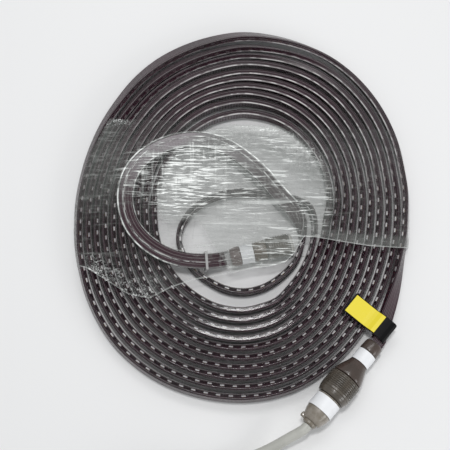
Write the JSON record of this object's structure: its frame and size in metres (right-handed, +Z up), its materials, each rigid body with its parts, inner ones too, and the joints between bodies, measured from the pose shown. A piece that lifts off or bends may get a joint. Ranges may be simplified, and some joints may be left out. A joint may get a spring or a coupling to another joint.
{
  "type": "coil of led strip light",
  "caption": "Flat strip light wound on edge into an oval coil, wrapped with a band of stretch film, with screw couplings at both ends and a mains lead",
  "frame": {"origin": "on the floor under the coil's middle, on the film's flat underside", "axes": "+Z up along the coil's axis, X across the coil along the band of film, +Y along its longer width, away from the mains lead"},
  "size_m": [0.2298, 0.402, 0.0229],
  "materials": {
    "strip": "clear extrusion over a dark core",
    "film": "clear wrinkled film",
    "smoked_plastic": "smoked, moulded",
    "smoked_nut": "smoked, ribbed",
    "clear_plastic": "clear, moulded",
    "white_label": "plain",
    "lead_plastic": "smoked, paler, moulded",
    "black_tape": "smooth",
    "yellow_label": "plain",
    "cable_sheath": "smooth",
    "tie_plastic": "smooth",
    "plug_plastic": "moulded",
    "pin_metal": "bright"
  },
  "bodies": {
    "root": {"led_strip": "strip", "stretch_film": "film", "inner_plug_body": "smoked_plastic", "inner_plug_nut": "smoked_nut", "inner_plug_cap": "clear_plastic", "inner_plug_label": "white_label", "strip_tie": "clear_plastic", "outer_plug_body": "smoked_plastic", "outer_plug_nut": "smoked_nut", "outer_plug_label": "white_label", "lead_plug_body": "lead_plastic", "lead_plug_label": "white_label", "tag_band": "black_tape", "tag_label": "yellow_label", "lead_cable": "cable_sheath", "lead_coil": "cable_sheath", "lead_tail": "cable_sheath", "lead_tie": "tie_plastic", "mains_plug_body": "plug_plastic", "mains_pin_1": "pin_metal", "mains_pin_2": "pin_metal"}
  },
  "joints": []
}
